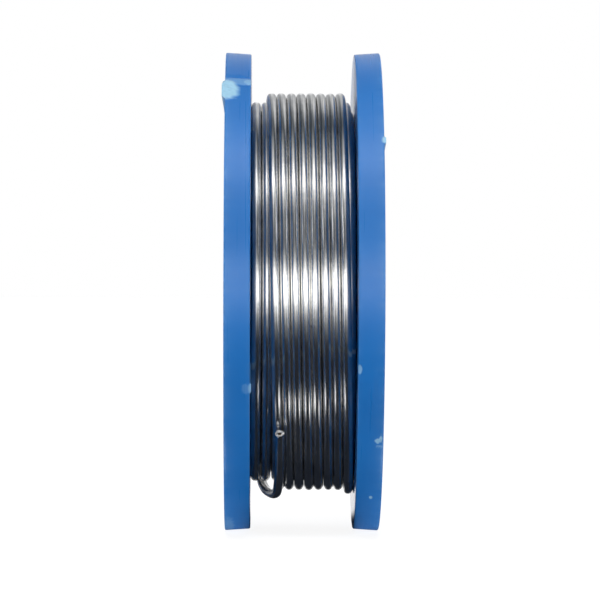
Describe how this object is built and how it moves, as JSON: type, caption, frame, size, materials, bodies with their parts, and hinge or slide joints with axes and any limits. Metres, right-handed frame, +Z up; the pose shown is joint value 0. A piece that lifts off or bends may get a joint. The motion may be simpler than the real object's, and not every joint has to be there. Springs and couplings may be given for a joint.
{
  "type": "solder wire spool",
  "caption": "Small blue moulded reel in pegged halves, wound in layers with bright flux-cored solder wire whose last turn is pulled loose and cut.",
  "frame": {"origin": "centre of the bore at mid width", "axes": "+X along the reel's axis, from the flange with the start tail to the other one; +Z up, with the reel standing on its two rims; the loose end is at the front, on the -Y side"},
  "size_m": [0.016, 0.05, 0.05],
  "materials": {
    "reel_plastic": "satin injection-moulded styrene, scuffed at the rims",
    "solder": "bright drawn tin alloy wire, fine lengthwise draw marks",
    "flux": "brittle brown rosin"
  },
  "bodies": {
    "root": {"left_reel_half": "reel_plastic", "right_reel_half": "reel_plastic", "inner_winding": "solder", "lower_layer": "solder", "upper_layer": "solder", "free_end": "solder", "cut_tip": "solder", "flux_core": "flux", "start_tail": "solder"}
  },
  "joints": []
}
